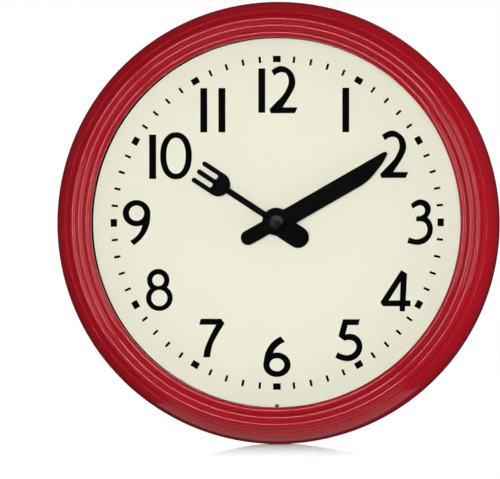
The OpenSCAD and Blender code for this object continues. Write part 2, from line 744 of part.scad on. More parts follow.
module third_wheel() {
    train(third_at, gear_tint) union() {
        gear(third_wheel_z, third_teeth[1], third_m, third_turn);
        gear(third_pinion_z, centre_teeth[0], centre_m, 0);
        rod([floor_z + 1.6, third_pinion_z[1] - 0.2], arbor_r);
        rod([floor_z - 0.4, third_pinion_z[1] + 1.4], pivot_r);
    }
}
module centre_wheel() {
    train([0, 0], gear_tint) difference() {
        gear(centre_wheel_z, centre_teeth[1], centre_m, centre_turn);
        hole(centre_wheel_z, minute_pipe_r + run_gap);
    }
}
module friction_spring() {
    low = centre_wheel_z[1] + 0.1;
    high = cannon_z[0] - 0.1;
    color([0.8, 0.66, 0.3]) rotate_extrude() polygon([[minute_pipe_r + press_gap, high - 0.15],
        [minute_pipe_r + 1, high - 0.15], [minute_pipe_r + 3, low], [minute_pipe_r + 3.3, low + 0.1],
        [minute_pipe_r + 1.2, high], [minute_pipe_r + press_gap, high]]);
}
module cannon_pinion() {
    pipe_z = [bridge_z[1] + 0.1, minute_z + hand_t + 0.7];
    color([0.8, 0.66, 0.3]) difference() {
        union() {
            gear(cannon_z, motion_teeth[0], motion_m, 0);
            rod(pipe_z, minute_pipe_r);
            rod([pipe_z[0], pipe_z[0] + 0.3], minute_pipe_r + 0.6);
        }
        hole(pipe_z, arbor_r + run_gap);
    }
}
module minute_wheel() {
    train(minute_at, gear_tint) difference() {
        union() {
            gear(minute_wheel_z, motion_teeth[1], motion_m, minute_turn);
            gear(minute_pinion_z, hour_teeth[0], hour_m, 0);
        }
        hole([minute_wheel_z[0], minute_pinion_z[1]], stud_r + run_gap);
    }
}
module hour_wheel() {
    pipe_z = [hour_wheel_z[0], hour_z + hand_t + 0.4];
    train([0, 0], gear_tint) difference() {
        union() {
            gear(hour_wheel_z, hour_teeth[1], hour_m, hour_turn);
            rod(pipe_z, hour_pipe_r);
        }
        hole(pipe_z, minute_pipe_r + run_gap);
    }
}
module setting_knob() {
    knob_z = [move_z - 1.7, move_z - 0.2];
    train(knob_at, gear_tint) union() {
        gear(knob_pinion_z, setting_teeth, motion_m, knob_turn);
        rod([knob_z[1] - eps, knob_pinion_z[1]], knob_stem_r);
        difference() {
            rod(knob_z, knob_r);
            for (i = [0:knob_flutes - 1])
                rotate(i * 360 / knob_flutes) translate([knob_r + 0.2, 0, 0]) hole(knob_z, 0.5);
        }
    }
}

// ---------- battery and contacts ----------

strip_z = [board_top + 0.5, board_top + 3.5];
end_half = 4;
end_z = [cell_z - end_half, cell_z + end_half];
wall_x = inner_w / 2 - contact_gap;

module positive_contact() {
    foot_x = board_at[0] + board_size[0] - 3;
    foot_y = [board_at[1] + board_size[1] - 4, board_at[1] + board_size[1] - 2];
    inner_x = wall_x - contact_t;
    color([0.78, 0.78, 0.76]) union() {
        box([inner_x, cell_y - end_half, end_z[0]], [wall_x, cell_y + end_half, end_z[1]]);
        box([inner_x, cell_y, strip_z[0]], [wall_x, foot_y[1], strip_z[1]]);
        box([foot_x, foot_y[0], strip_z[0]], [wall_x, foot_y[1], strip_z[0] + contact_t]);
        box([foot_x, foot_y[0], board_top], [foot_x + contact_t, foot_y[1], strip_z[0] + eps]);
    }
}

module negative_contact() {
    mid_x = -wall_x + contact_t / 2;
    inner_x = -wall_x + contact_t;
    foot_x = board_at[0] + 3;
    foot_y = board_at[1] + board_size[1] - 2;
    reach = cell_x - loose_gap / 2 - mid_x;
    leaf = concat(bow([mid_x, cell_y - end_half], [mid_x, cell_y + end_half], -reach, 10),
        bow([mid_x, cell_y + end_half - 0.8], [mid_x, cell_y - end_half + 0.8], reach - contact_t, 10));
    color([0.78, 0.78, 0.76]) union() {
        box([-wall_x, cell_y - end_half, end_z[0]], [inner_x, cell_y + end_half, end_z[1]]);
        // Bowed leaf that bears on the cell's end
        slab([cell_z - 2, cell_z + 2], leaf);
        box([-wall_x, cell_y, strip_z[0]], [inner_x, wall_x, strip_z[1]]);
        box([-wall_x, wall_x - contact_t, strip_z[0]], [foot_x, wall_x, strip_z[1]]);
        box([foot_x - contact_t, foot_y, board_top], [foot_x, wall_x, strip_z[0] + 1]);
    }
}

module along_cell() { translate([cell_x, cell_y, cell_z]) rotate([0, 90, 0]) children(); }
module battery_cell() {
    body_len = cell_len - cap_size[1];
    color([0.15, 0.35, 0.3]) along_cell() rotate_extrude() polygon([[0, 0], [cell_d / 2 - 0.4, 0],
        [cell_d / 2, 0.4], [cell_d / 2, body_len - 0.5], [cell_d / 2 - 0.5, body_len], [0, body_len]]);
}
module battery_cap() {
    color([0.8, 0.8, 0.8]) along_cell() rod([cell_len - cap_size[1], cell_len], cap_size[0]);
}

// ---------- hands ----------

// Turns a hand drawn along x to point at an angle clockwise from 12
module pointing(a) { rotate(90 - a) children(); }

tail_v = 0.25;
minute_tail_v = 0.35;
boss_at = [0.4, -0.3];
fork_x = 38;
slot_x = hour_len - slot_len;
tine_gap = (fork_w - 3 * tine_w) / 2;
root_r = 0.9;
module hour_hand() {
    z = [hour_z, hour_z + hand_t];
    r = fork_w / 2;
    half = stem_w / 2;
    // Stem, with small fillets where it leaves the boss
    stem = concat([[0, -half - 1], [boss_r - 0.6, -half - 1]],
        bow([boss_r - 0.3, -half - 0.8], [boss_r + 1.2, -half], 0.3, 4),
        [[fork_x, -half], [fork_x, half]],
        bow([boss_r + 1.2, half], [boss_r - 0.3, half + 0.8], 0.3, 4),
        [[boss_r - 0.6, half + 1], [0, half + 1]]);
    tail = concat(arc([hour_tail_w / 2 - hour_tail, tail_v], hour_tail_w / 2, 90, 270, 16),
        [[0, tail_v - hour_tail_w / 2], [0, tail_v + hour_tail_w / 2]]);
    head = concat(arc([fork_x, 0], r, 90, 270, 20), [[slot_x + 1, -r], [slot_x + 1, r]]);
    tine = concat(arc([hour_len - tine_w / 2, 0], tine_w / 2, -90, 90, 10),
        [[slot_x, tine_w / 2], [slot_x, -tine_w / 2]]);
    // Slot between two tines, with small corner radii at its root
    root = [slot_x + root_r, tine_gap / 2 - root_r];
    slot = concat(arc([root[0], -root[1]], root_r, 270, 180, 5), arc(root, root_r, 180, 90, 5),
        [[slot_x + 3, tine_gap / 2], [slot_x + 3, -tine_gap / 2]]);
    color([0.04, 0.04, 0.04]) pointing(hour_shown) difference() {
        union() {
            move_to(boss_at) rod(z, boss_r);
            for (outline = [stem, tail, head]) slab(z, outline);
            for (k = [-1:1]) move_to([0, k * (tine_w + tine_gap)]) slab(z, tine);
        }
        hole(z, hour_sleeve_r + press_gap);
        for (k = [-1, 1]) move_to([0, k * (tine_w + tine_gap) / 2]) slab([z[0] - 1, z[1] + 1], slot);
    }
}

module minute_hand() {
    z = [minute_z, minute_z + hand_t];
    tail_r = minute_tail_w / 2;
    tip = minute_len;
    back = blade_back;
    edge = -blade_edge;
    tail = arc([tail_r - minute_tail, minute_tail_v], tail_r, 90, 270, 16);
    heel = smooth([[4, minute_tail_v - tail_r], [6, edge + 1], [9, edge]]);
    point = smooth([[tip - 21, edge], [tip - 17, edge + 0.5], [tip - 13, edge + 1.6],
        [tip - 9, edge + 3.1], [tip - 5.4, edge + 4.6], [tip - 2, edge + 6.6],
        [tip - 0.4, edge + 7.7], [tip, edge + 8.6], [tip - 0.4, back - 0.5], [tip - 1.4, back]]);
    color([0.04, 0.04, 0.04]) pointing(minute_shown) difference() {
        slab(z, concat([[0, back]], tail, heel, [[tip - 22, edge]], point));
        hole(z, minute_sleeve_r + press_gap);
    }
}

module hour_collet() {
    low = hour_z - collet_lip;
    top = hour_z + hand_t;
    color([0.05, 0.05, 0.05]) rotate_extrude() polygon([[hour_pipe_r + press_gap, low],
        [collet_r + 0.6, low], [collet_r + 0.6, hour_z], [hour_sleeve_r, hour_z], [hour_sleeve_r, top],
        [collet_r, top], [collet_r, top + collet_lip], [hour_pipe_r + press_gap, top + collet_lip]]);
}
// The minute collet's front is a rounded ring round a dished cap that covers the arbor
module minute_collet() {
    low = minute_z - collet_lip;
    top = minute_z + hand_t;
    bore_r = minute_pipe_r + press_gap;
    recess_r = minute_pipe_r + 0.3;
    cap_z = arbor_top + 0.1;
    crown = bow([collet_r, top + collet_h / 2], [recess_r, top + collet_h], -0.3);
    color([0.05, 0.05, 0.05]) rotate_extrude() polygon(concat([[bore_r, low], [collet_r, low],
        [collet_r, minute_z], [minute_sleeve_r, minute_z], [minute_sleeve_r, top], [collet_r, top]],
        crown, [[recess_r, cap_z + collet_cap_t], [0, cap_z + collet_cap_t], [0, cap_z], [bore_r, cap_z]]));
}

module hung() { translate([0, 0, -hook_rise]) rotate([90, 0, 0]) children(); }

hung() frame();
hung() lens();
hung() spacer_ring();
hung() dial();
hung() dial_print();
hung() back_plate();
hung() back_screws();
hung() hanger_bracket();
hung() rubber_washer();
hung() fixing_washer();
hung() fixing_nut();
hung() centre_bush();
hung() movement_case();
hung() movement_cover();
hung() bridge_plate();
hung() circuit_board();
hung() quartz_crystal();
hung() timing_chip();
hung() coil_bobbin();
hung() coil_winding();
hung() stator_core();
hung() rotor_magnet();
hung() rotor_pinion();
hung() intermediate_wheel();
hung() seconds_wheel();
hung() third_wheel();
hung() centre_wheel();
hung() friction_spring();
hung() cannon_pinion();
hung() minute_wheel();
hung() hour_wheel();
hung() setting_knob();
hung() positive_contact();
hung() negative_contact();
hung() battery_cell();
hung() battery_cap();
hung() hour_hand();
hung() hour_collet();
hung() minute_hand();
hung() minute_collet();
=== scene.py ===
import json
import math
import bmesh
import bpy
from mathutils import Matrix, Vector


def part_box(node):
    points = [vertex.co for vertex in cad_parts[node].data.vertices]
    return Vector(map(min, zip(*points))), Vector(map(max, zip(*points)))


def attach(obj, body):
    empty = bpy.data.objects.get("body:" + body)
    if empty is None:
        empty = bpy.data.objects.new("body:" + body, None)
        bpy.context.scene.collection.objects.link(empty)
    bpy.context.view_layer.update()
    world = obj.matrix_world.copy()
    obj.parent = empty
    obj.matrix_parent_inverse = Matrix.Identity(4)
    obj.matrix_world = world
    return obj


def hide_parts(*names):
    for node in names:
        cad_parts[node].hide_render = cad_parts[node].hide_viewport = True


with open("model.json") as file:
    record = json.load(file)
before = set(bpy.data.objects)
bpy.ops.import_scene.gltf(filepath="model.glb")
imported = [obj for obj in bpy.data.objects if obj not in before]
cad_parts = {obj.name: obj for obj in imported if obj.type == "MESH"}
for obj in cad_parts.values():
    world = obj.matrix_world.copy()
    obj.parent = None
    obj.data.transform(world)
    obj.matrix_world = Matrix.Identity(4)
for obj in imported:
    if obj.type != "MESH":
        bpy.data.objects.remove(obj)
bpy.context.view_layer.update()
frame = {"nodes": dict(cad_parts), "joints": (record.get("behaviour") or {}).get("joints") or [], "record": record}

nodes = frame["nodes"]
bodyOf = {node: body for body, group in frame["record"]["behaviour"]["bodies"].items() for node in group}
axisHeight = next(joint["pos_m"][2] for joint in frame["joints"] if joint["name"] == "minute_spin")
mm = 0.001
tiny = 1e-6  # mm, a radius that counts as none
print("frame loaded:", len(nodes), "nodes")


# Places are drawn as on a bench, in mm: x right, y up from the dial's axis, z out from the wall.

def onWall(x, y, z):
    return Vector((x * mm, -z * mm, axisHeight + y * mm))


def levels(node):  # rear and front of a node, in mm from the wall
    low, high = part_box(node)
    return -high.y / mm, -low.y / mm


def reach(node):  # largest radius of a round node, in mm
    low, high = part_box(node)
    return (high.x - low.x) / 2 / mm


# Outlines are lists of (radius, height) points.

def arc(centre, radius, start, end, steps):
    turns = [math.radians(start + (end - start) * i / steps) for i in range(steps + 1)]
    return [(centre[0] + radius * math.cos(t), centre[1] + radius * math.sin(t)) for t in turns]


def bow(p, q, rise, steps=14):  # arc from p to q that bulges by rise to the left of the way
    p, q = Vector(p), Vector(q)
    chord = q - p
    along = chord.normalized()
    side = Vector((-along.y, along.x)) * math.copysign(1, rise)
    rise = abs(rise)
    radius = (chord.length ** 2 / 4 + rise ** 2) / (2 * rise)
    centre = (p + q) / 2 - side * (radius - rise)
    half = math.asin(min(1, chord.length / 2 / radius))
    turns = [half * (2 * i / steps - 1) for i in range(steps + 1)]
    return [tuple(centre + (along * math.sin(t) + side * math.cos(t)) * radius) for t in turns]


cornerCut = {"sharp": 25, "steps": 4, "most": 0.45, "doubled": 1e-4}  # degrees, share of a side, mm


def softened(outline, radius):  # rounds the corners of a closed outline
    v = cornerCut
    shifted = outline[-1:] + outline[:-1]
    outline = [p for p, q in zip(outline, shifted) if (Vector(p) - Vector(q)).length > v["doubled"]]
    out = []
    for i, point in enumerate(outline):
        here = Vector(point)
        before, after = Vector(outline[i - 1]) - here, Vector(outline[(i + 1) % len(outline)]) - here
        bend = 180 - math.degrees(before.angle(after))
        if bend < v["sharp"] or here.x < tiny:
            out.append(tuple(here))
            continue
        cut = radius * math.tan(math.radians(bend / 2))
        cut = min(cut, before.length * v["most"], after.length * v["most"])
        start, end = here + before.normalized() * cut, here + after.normalized() * cut
        for k in range(v["steps"] + 1):
            t = k / v["steps"]
            out.append(tuple(start * (1 - t) ** 2 + here * 2 * t * (1 - t) + end * t ** 2))
    return out


def finished(bm, name, smoothUnder=38):  # turns a bmesh into an object with its sharp edges marked
    bmesh.ops.recalc_face_normals(bm, faces=bm.faces)
    mesh = bpy.data.meshes.new(name)
    bm.to_mesh(mesh)
    bm.free()
    mesh.shade_smooth()
    mesh.set_sharp_from_angle(angle=math.radians(smoothUnder))
    piece = bpy.data.objects.new(name, mesh)
    bpy.context.scene.collection.objects.link(piece)
    even = piece.modifiers.new("flatFaces", "WEIGHTED_NORMAL")  # keeps wide flat faces flat in the light
    even.keep_sharp = True
    return piece


def lathe(name, outline, turns):  # turns a closed outline round the dial's axis
    bm = bmesh.new()
    angles = [2 * math.pi * k / turns for k in range(turns)]
    rings = []
    for radius, height in outline:
        if radius < tiny:
            rings.append([bm.verts.new(onWall(0, 0, height))] * turns)
            continue
        ring = [onWall(radius * math.cos(a), radius * math.sin(a), height) for a in angles]
        rings.append([bm.verts.new(place) for place in ring])
    for i, ring in enumerate(rings):
        lower = rings[i - 1]
        for k in range(turns):
            corners = list(dict.fromkeys([lower[k - 1], lower[k], ring[k], ring[k - 1]]))
            if len(corners) > 2:
                bm.faces.new(corners)
    return finished(bm, name)


cleanUp = {"merge": 0.002, "sliver": 0.001, "flat": 0.4, "sharp": 32}  # mm, mm, degrees, degrees


def refined(node, name, edge, segments=2):  # a node's own shape with its edges broken
    v = cleanUp
    bm = bmesh.new()
    bm.from_mesh(nodes[node].data)
    bmesh.ops.remove_doubles(bm, verts=bm.verts, dist=v["merge"] * mm)
    bmesh.ops.dissolve_degenerate(bm, edges=bm.edges, dist=v["sliver"] * mm)
    bmesh.ops.dissolve_limit(bm, angle_limit=math.radians(v["flat"]), verts=bm.verts, edges=bm.edges)
    sharp = math.radians(v["sharp"])
    corners = [e for e in bm.edges if e.is_manifold and e.calc_face_angle(0) > sharp]
    if edge and corners:
        bmesh.ops.bevel(bm, geom=corners, offset=edge * mm, segments=segments, profile=0.5,
                        affect="EDGES", clamp_overlap=True)
    return finished(bm, name)


def fit(piece, node, finish):  # stands a piece in for a node, on that node's body
    piece.data.materials.append(finish.material)
    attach(piece, bodyOf[node])
    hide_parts(node)


class Value:  # a socket that takes part in sums
    def __init__(self, graph, socket):
        self.graph, self.socket = graph, socket

    def sum(self, operation, *terms):
        return self.graph.add("ShaderNodeMath", {"operation": operation}, dict(enumerate(terms)))

    def __add__(self, other):
        return self.sum("ADD", self, other)

    def __sub__(self, other):
        return self.sum("SUBTRACT", self, other)

    def __rsub__(self, other):
        return self.sum("SUBTRACT", other, self)

    def __mul__(self, other):
        return self.sum("MULTIPLY", self, other)

    def __pow__(self, other):
        return self.sum("POWER", self, other)

    def sine(self):
        return self.sum("SINE", self)

    __radd__, __rmul__ = __add__, __mul__


class Finish:  # one material, its nodes and the record's slot that it stands for
    def __init__(self, name, slot):
        self.slot = slot
        self.material = bpy.data.materials.new(name)
        self.material.use_nodes = True
        self.tree = self.material.node_tree
        self.tree.nodes.clear()
        self.output = self.tree.nodes.new("ShaderNodeOutputMaterial")
        place = self.add("ShaderNodeTexCoord", {}, {}, "Object")
        self.place = self.add("ShaderNodeVectorMath", {"operation": "SCALE"}, {0: place, "Scale": 1 / mm})

    def add(self, kind, settings, inputs, output=0):  # any node: its settings, then its sockets
        node = self.tree.nodes.new(kind)
        for key, value in settings.items():
            setattr(node, key, value)
        for key, value in inputs.items():
            if isinstance(value, Value):
                self.tree.links.new(value.socket, node.inputs[key])
            else:
                node.inputs[key].default_value = value
        return Value(self, node.outputs[output])

    def noise(self, size, detail=3, rough=0.5, warp=0.0, place=None):  # size of its lumps in mm
        inputs = {"Vector": place or self.place, "Scale": 1 / size, "Detail": detail,
                  "Roughness": rough, "Distortion": warp}
        return self.add("ShaderNodeTexNoise", {}, inputs)

    def cells(self, size, output="Distance"):
        return self.add("ShaderNodeTexVoronoi", {}, {"Vector": self.place, "Scale": 1 / size}, output)

    def stretched(self, scale):  # places squeezed along the axes, for grain
        return self.add("ShaderNodeVectorMath", {"operation": "MULTIPLY"}, {0: self.place, 1: scale})

    def axes(self):
        node = self.add("ShaderNodeSeparateXYZ", {}, {0: self.place})
        return [Value(self, socket) for socket in node.socket.node.outputs]

    def radius(self):  # distance from the dial's axis, in mm
        x, y, z = self.axes()
        up = z - axisHeight / mm
        return (x * x + up * up) ** 0.5

    def between(self, value, low, high):  # 0 at low, 1 at high
        return self.add("ShaderNodeMapRange", {"clamp": True},
                        {"Value": value, "From Min": low, "From Max": high})

    def mixed(self, share, a, b):  # colours
        return self.add("ShaderNodeMix", {"data_type": "RGBA"}, {0: share, 6: a, 7: b}, 2)

    def toned(self, share, colour, tones):  # one colour that drifts between a darker and a lighter tone
        return self.mixed(share, shade(colour, tones[0]), shade(colour, tones[1]))

    def bump(self, height, depth, strength):  # depth in mm
        inputs = {"Height": height, "Distance": depth * mm, "Strength": strength}
        return self.add("ShaderNodeBump", {}, inputs)

    def surface(self, shader):
        self.tree.links.new(shader.socket, self.output.inputs["Surface"])
        return self

    def coat(self, settings):  # the Principled shader, with its plain values on its own sockets
        return self.surface(self.add("ShaderNodeBsdfPrincipled", {}, settings))


def shade(colour, factor):  # a plain colour, darker or lighter
    return tuple(min(1, c * factor) for c in colour[:3]) + (1,)


# In the finishes, sizes and depths are in mm, shares and tones are factors.

redEnamel = {"colour": (0.345, 0.0055, 0.0125, 1), "patch": 38, "patchTones": (0.93, 1.06),
             "patchRough": 0.08, "peel": 1.1, "grain": 0.22, "grainShare": 0.08, "grainRough": 0.03,
             "pinHole": 2.6, "pinEdge": (0.05, 0.13), "pinShow": 0.5, "pinTone": 0.72, "pinShare": 0.25,
             "depth": 0.0015, "rough": 0.34, "gloss": 0.05, "coat": 0.85, "coatRough": 0.05,
             "coatIndex": 1.5}


def makeRedEnamel():
    v = redEnamel
    f = Finish("redEnamelPaint", "red_enamel")
    patches, peel, grain = f.noise(v["patch"], 2), f.noise(v["peel"], 2), f.noise(v["grain"], 1)
    sound = f.between(f.cells(v["pinHole"]), *v["pinEdge"])  # 0 at rare pin holes and dust under the paint
    tone = f.toned(patches, v["colour"], v["patchTones"])
    tone = f.mixed((1 - sound) * v["pinShow"], tone, shade(v["colour"], v["pinTone"]))
    height = peel + grain * v["grainShare"] + sound * v["pinShare"]
    rough = patches * v["patchRough"] + grain * v["grainRough"] + v["rough"]
    return f.coat({"Base Color": tone, "Roughness": rough, "Coat Weight": v["coat"],
                   "Coat Roughness": v["coatRough"], "Coat IOR": v["coatIndex"],
                   "Specular IOR Level": v["gloss"], "Normal": f.bump(height, v["depth"], 1)})


dialPaint = {"colour": (0.80, 0.784, 0.645, 1), "aged": (0.795, 0.78, 0.625, 1), "agedFrom": 70,
             "agedTo": 104, "agedShow": 0.2, "mottle": 26, "mottleShow": 0.5, "mottleTone": 0.975,
             "fibre": 0.16, "fibreShow": 0.12, "fibreTone": 1.03, "fibreRough": 0.1, "rough": 0.55,
             "gloss": 0.3, "depth": 0.004, "strength": 0.6}


def makeDialPaint():
    v = dialPaint
    f = Finish("creamDialPaint", "dial_enamel")
    mottle, fibre = f.noise(v["mottle"], 3), f.noise(v["fibre"], 2)
    age = f.between(f.radius(), v["agedFrom"], v["agedTo"]) * v["agedShow"]
    tone = f.mixed(mottle * v["mottleShow"], v["colour"], shade(v["colour"], v["mottleTone"]))
    tone = f.mixed(age, tone, v["aged"])  # a touch warmer at the edge
    tone = f.mixed(fibre * v["fibreShow"], tone, shade(v["colour"], v["fibreTone"]))
    return f.coat({"Base Color": tone, "Roughness": fibre * v["fibreRough"] + v["rough"],
                   "Specular IOR Level": v["gloss"], "Normal": f.bump(fibre, v["depth"], v["strength"])})


dialInk = {"colour": (0.0005, 0.0005, 0.0006, 1), "thin": (0.0022, 0.0022, 0.0022, 1), "thinShow": 0.5,
           "speck": 0.12, "speckRough": 0.15, "rough": 0.6, "gloss": 0.02, "depth": 0.003, "strength": 0.5}


def makeDialInk():
    v = dialInk
    f = Finish("printedInk", "dial_ink")
    speck = f.noise(v["speck"], 2)
    tone = f.mixed(speck * v["thinShow"], v["colour"], v["thin"])
    return f.coat({"Base Color": tone, "Roughness": speck * v["speckRough"] + v["rough"],
                   "Specular IOR Level": v["gloss"], "Normal": f.bump(speck, v["depth"], v["strength"])})


handPaint = {"colour": (0.0006, 0.0006, 0.0007, 1), "worn": (0.006, 0.006, 0.0065, 1), "wornShow": 0.6,
             "rub": 1.7, "rubEdge": (0.68, 0.8), "grain": 0.3, "grainRough": 0.06, "drift": 9,
             "driftRough": 0.1, "depth": 0.004, "strength": 0.5}


def makeHandPaint(name, rough, gloss):
    v = handPaint
    f = Finish(name, "hand_black")
    grain, drift = f.noise(v["grain"], 2), f.noise(v["drift"], 2)
    worn = f.between(f.noise(v["rub"], 4, 0.7), *v["rubEdge"])  # faint rubs left by fingers
    tone = f.mixed(worn * v["wornShow"], v["colour"], v["worn"])
    rough = drift * v["driftRough"] + grain * v["grainRough"] + rough
    return f.coat({"Base Color": tone, "Roughness": rough, "Specular IOR Level": gloss,
                   "Normal": f.bump(grain, v["depth"], v["strength"])})


paneGlass = {"tint": (0.99, 0.992, 0.99, 1), "rough": 0.02, "mirror": 0.32, "index": 1.45, "film": 34,
             "filmEdge": (0.5, 0.75), "filmMirror": 0.1}


def makePaneGlass():
    v = paneGlass
    f = Finish("clearPane", "glass")
    smear = f.between(f.noise(v["film"], 4, 0.6, 0.8), *v["filmEdge"])  # a wiped film, seen only in gloss
    mirror = f.add("ShaderNodeBsdfGlossy", {}, {"Color": (1, 1, 1, 1), "Roughness": v["rough"]})
    through = f.add("ShaderNodeBsdfTransparent", {}, {"Color": v["tint"]})
    facing = f.add("ShaderNodeFresnel", {}, {"IOR": v["index"]})
    share = facing * (smear * v["filmMirror"] + v["mirror"])
    return f.surface(f.add("ShaderNodeMixShader", {}, {0: share, 1: through, 2: mirror}))


plasticSkin = {"broad": 14, "broadTones": (0.88, 1.12), "broadRough": 0.1, "flow": 3.5, "flowShare": 0.3,
               "scuff": 1.3, "scuffEdge": (0.62, 0.75), "scuffShow": 0.4, "scuffTone": 1.6,
               "grainRough": 0.08, "strength": 0.7}


def makePlastic(name, slot, colour, grain=0.35, depth=0.012, rough=0.5, wear=0.5, gloss=0.42):
    v = plasticSkin
    f = Finish(name, slot)
    grainy, broad, flow = f.cells(grain), f.noise(v["broad"], 3), f.noise(v["flow"], 5, 0.6, 1.5)
    scuffs = f.between(f.noise(v["scuff"], 5, 0.75, 0.4, f.stretched((1, 0.25, 1))), *v["scuffEdge"])
    tone = f.toned(broad, colour, v["broadTones"])
    tone = f.mixed(scuffs * wear * v["scuffShow"], tone, shade(colour, v["scuffTone"]))
    height = grainy + flow * v["flowShare"]
    rough = broad * v["broadRough"] + grainy * v["grainRough"] + rough
    return f.coat({"Base Color": tone, "Roughness": rough, "Specular IOR Level": gloss,
                   "Normal": f.bump(height, depth, v["strength"])})


powder = {"dark": (0.016, 0.016, 0.017, 1), "light": (0.024, 0.024, 0.025, 1), "lump": 0.55, "fine": 0.24,
          "fineShare": 0.4, "broad": 30, "broadRough": 0.12, "dust": 5, "dustEdge": (0.55, 0.78),
          "dustColour": (0.055, 0.053, 0.05, 1), "dustShow": 0.35, "dustRough": 0.12, "rough": 0.42,
          "depth": 0.03, "strength": 0.8}


def makePowderCoat():
    v = powder
    f = Finish("blackPowderCoat", "black_steel")
    lumps, fine, broad = f.noise(v["lump"], 3), f.cells(v["fine"]), f.noise(v["broad"], 3)
    dust = f.between(f.noise(v["dust"], 6, 0.72), *v["dustEdge"])
    tone = f.mixed(broad, v["dark"], v["light"])
    tone = f.mixed(dust * v["dustShow"], tone, v["dustColour"])
    rough = broad * v["broadRough"] + dust * v["dustRough"] + v["rough"]
    return f.coat({"Base Color": tone, "Roughness": rough,
                   "Normal": f.bump(lumps + fine * v["fineShare"], v["depth"], v["strength"])})


metalSkin = {"line": 0.18, "lineRough": 0.12, "broad": 8, "broadTones": (0.86, 1.08), "blotch": 3.2,
             "blotchEdge": (0.55, 0.72), "blotchShow": 0.35, "blotchTone": 0.62, "blotchRough": 0.15,
             "crystalShow": 0.5, "crystalTone": 1.15, "crystalShare": 0.3, "crystalLines": 0.5,
             "rings": 30, "ringShare": 0.3, "depth": 0.006, "strength": 0.6}


def makeMetal(name, slot, colour, grain=(1, 1, 1), rough=0.3, stain=None, ringed=False, spangle=0.0):
    v = metalSkin
    f = Finish(name, slot)
    lines = f.noise(v["line"], 3, 0.6, 0, f.stretched(grain))
    broad = f.noise(v["broad"], 4, 0.6, 0.5)
    blotch = f.between(f.noise(v["blotch"], 5, 0.7), *v["blotchEdge"])
    tone = f.toned(broad, colour, v["broadTones"])
    tone = f.mixed(blotch * v["blotchShow"], tone, stain or shade(colour, v["blotchTone"]))
    height = lines
    if spangle:  # crystals of a zinc coat
        level = f.add("ShaderNodeRGBToBW", {}, {0: f.cells(spangle, "Color")})
        tone = f.mixed(level * v["crystalShow"], tone, shade(colour, v["crystalTone"]))
        height = lines * v["crystalLines"] + level * v["crystalShare"]
    if ringed:  # turning marks round the arbor
        height = (f.radius() * v["rings"]).sine() * v["ringShare"] + lines
    rough = lines * v["lineRough"] + blotch * v["blotchRough"] + rough
    return f.coat({"Base Color": tone, "Metallic": 1.0, "Roughness": rough,
                   "Normal": f.bump(height, v["depth"], v["strength"])})


washerRubber = {"colour": (0.018, 0.018, 0.018, 1), "bloomColour": (0.05, 0.05, 0.048, 1), "bloom": 4,
                "bloomEdge": (0.45, 0.75), "bloomShow": 0.6, "bloomRough": 0.15, "bloomShare": 0.5,
                "pore": 0.5, "rough": 0.7, "gloss": 0.25, "depth": 0.02, "strength": 0.7}


def makeRubber():
    v = washerRubber
    f = Finish("washerRubber", "rubber")
    bloom, pores = f.noise(v["bloom"], 5, 0.65), f.cells(v["pore"])
    tone = f.mixed(f.between(bloom, *v["bloomEdge"]) * v["bloomShow"], v["colour"], v["bloomColour"])
    height = pores + bloom * v["bloomShare"]
    return f.coat({"Base Color": tone, "Roughness": bloom * v["bloomRough"] + v["rough"],
                   "Specular IOR Level": v["gloss"], "Normal": f.bump(height, v["depth"], v["strength"])})


boardLacquer = {"bare": (0.012, 0.1, 0.045, 1), "copper": (0.03, 0.19, 0.08, 1), "slant": 0.5,
                "tracksAcross": 2.4, "tracksUp": 1.7, "trackEdge": (0.1, 0.2), "weave": 0.4,
                "weaveShare": 0.2, "weaveRough": 0.1, "rough": 0.3, "depth": 0.02, "strength": 0.6}


def makeBoardMask():
    v = boardLacquer
    f = Finish("boardLacquer", "board")
    x, y, z = f.axes()
    tracks = ((x + z * v["slant"]) * v["tracksAcross"]).sine() * (z * v["tracksUp"]).sine()
    copper, weave = f.between(tracks, *v["trackEdge"]), f.noise(v["weave"], 2)
    tone = f.mixed(copper, v["bare"], v["copper"])
    return f.coat({"Base Color": tone, "Roughness": weave * v["weaveRough"] + v["rough"],
                   "Normal": f.bump(copper + weave * v["weaveShare"], v["depth"], v["strength"])})


windingWire = {"dark": (0.42, 0.13, 0.045, 1), "light": (0.62, 0.24, 0.09, 1), "drift": 2.5, "strand": 0.12,
               "run": (4, 0.6, 0.6), "metal": 0.85, "strandRough": 0.15, "rough": 0.28, "depth": 0.008,
               "strength": 0.7}


def makeWinding():
    v = windingWire
    f = Finish("windingWire", "copper_wire")
    drift, strands = f.noise(v["drift"], 4, 0.6), f.noise(v["strand"], 2, 0.5, 0, f.stretched(v["run"]))
    return f.coat({"Base Color": f.mixed(drift, v["dark"], v["light"]), "Metallic": v["metal"],
                   "Roughness": strands * v["strandRough"] + v["rough"],
                   "Normal": f.bump(strands, v["depth"], v["strength"])})


cellPaint = {"sleeve": (0.018, 0.09, 0.085, 1), "sleeveTone": 1.5, "sleeveShow": 0.4,
             "band": (0.62, 0.36, 0.13, 1), "bandFrom": 13.5, "bandFade": 0.15, "bandMetal": 0.6,
             "rule": (0.75, 0.74, 0.7, 1), "ruleGap": 1.2, "ruleFade": 0.1, "shrink": 6, "fine": 0.7,
             "run": (0.3, 1, 1), "fineRough": 0.12, "rough": 0.24, "depth": 0.02, "strength": 0.6}


